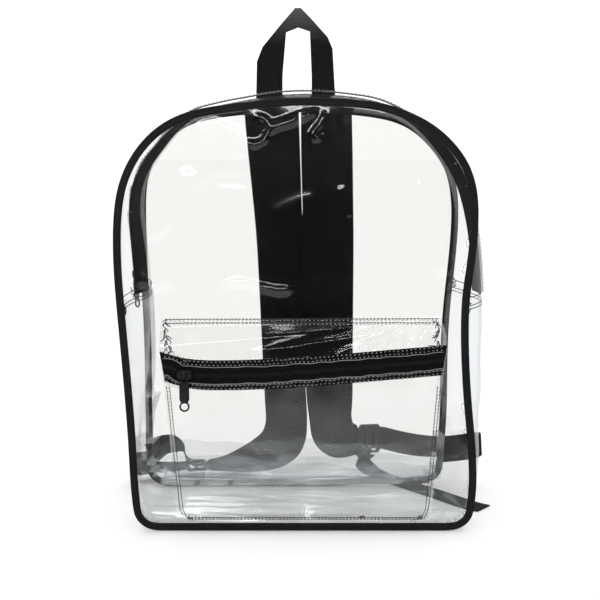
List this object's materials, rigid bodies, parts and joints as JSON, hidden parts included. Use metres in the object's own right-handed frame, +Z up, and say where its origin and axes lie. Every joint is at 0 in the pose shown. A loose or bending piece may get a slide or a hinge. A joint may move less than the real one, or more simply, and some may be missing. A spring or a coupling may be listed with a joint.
{
  "type": "clear stadium backpack",
  "caption": "Clear film backpack with black bound edges, an arched main zip, a zipped front pocket, a raised webbing handle and padded shoulder straps.",
  "frame": {"origin": "the middle of the base, on the surface that the bag stands on", "axes": "+X to the right seen from the pocket side, +Y to the shoulder straps, +Z up"},
  "size_m": [0.4107, 0.2689, 0.538],
  "materials": {
    "clear_film": "clear soft vinyl film with gentle creases",
    "black_binding": "black woven edge tape, stitched",
    "zip_tape": "black woven zip tape",
    "zip_coil": "black nylon coil",
    "black_metal": "black painted cast metal",
    "black_webbing": "black ribbed polyester webbing",
    "strap_cloth": "black woven polyester over foam",
    "black_plastic": "black moulded acetal"
  },
  "bodies": {
    "bag": {"back_binding": "black_binding", "back_panel": "clear_film", "carry_handle": "black_webbing", "front_binding": "black_binding", "front_panel": "clear_film", "gusset_back": "clear_film", "gusset_base": "clear_film", "gusset_front": "clear_film", "ladder_lock_left": "black_plastic", "ladder_lock_right": "black_plastic", "lower_webbing_left": "black_webbing", "lower_webbing_right": "black_webbing", "main_slider": "black_metal", "main_zip_coil": "zip_coil", "main_zip_tape": "zip_tape", "pocket_bottom": "clear_film", "pocket_face": "clear_film", "pocket_side_left": "clear_film", "pocket_side_right": "clear_film", "pocket_slider": "black_metal", "pocket_top": "clear_film", "pocket_zip_coil": "zip_coil", "pocket_zip_tape": "zip_tape", "shoulder_strap_left": "strap_cloth", "shoulder_strap_right": "strap_cloth", "webbing_tail_left": "black_webbing", "webbing_tail_right": "black_webbing"},
    "main_pull": {"main_pull": "black_metal"},
    "pocket_pull": {"pocket_pull": "black_metal"}
  },
  "joints": [
    {"name": "main_pull_hinge", "type": "hinge", "parent": "bag", "child": "main_pull", "pos_m": [-0.17271, 0.00225, 0.25559], "axis": [0.3298, 0.9438, 0.0213], "range_deg": [0, 160]},
    {"name": "pocket_pull_hinge", "type": "hinge", "parent": "bag", "child": "pocket_pull", "pos_m": [-0.10969, -0.12158, 0.17222], "axis": [-1, 0, 0], "range_deg": [0, 160]}
  ]
}
